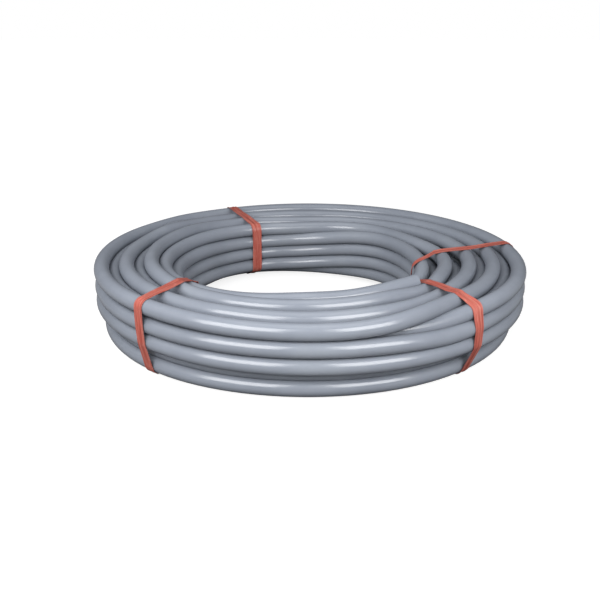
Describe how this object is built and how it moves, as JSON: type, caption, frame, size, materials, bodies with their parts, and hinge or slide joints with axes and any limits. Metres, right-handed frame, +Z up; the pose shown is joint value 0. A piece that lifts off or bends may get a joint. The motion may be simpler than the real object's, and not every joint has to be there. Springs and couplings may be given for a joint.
{
  "type": "coil of pipe",
  "caption": "Flat-lying coil of cross-linked polyethylene pipe, wound in staggered turns round an open centre, tied with thin tape straps, with open cut ends.",
  "frame": {"origin": "on the floor at the centre of the coil's central opening, at the bottom centre of the coil", "axes": "+Z up along the coil's axis, -Y towards the front as the coil was pictured, +X to the right"},
  "size_m": [0.7327, 0.732, 0.1207],
  "materials": {
    "pipe": "extruded blue-grey polyethylene, satin",
    "strap": "thin orange-red polyethylene tape"
  },
  "bodies": {
    "root": {"pipe_coil": "pipe", "strap_front_left": "strap", "strap_front_right": "strap", "strap_back_left": "strap", "strap_back_right": "strap"}
  },
  "joints": []
}
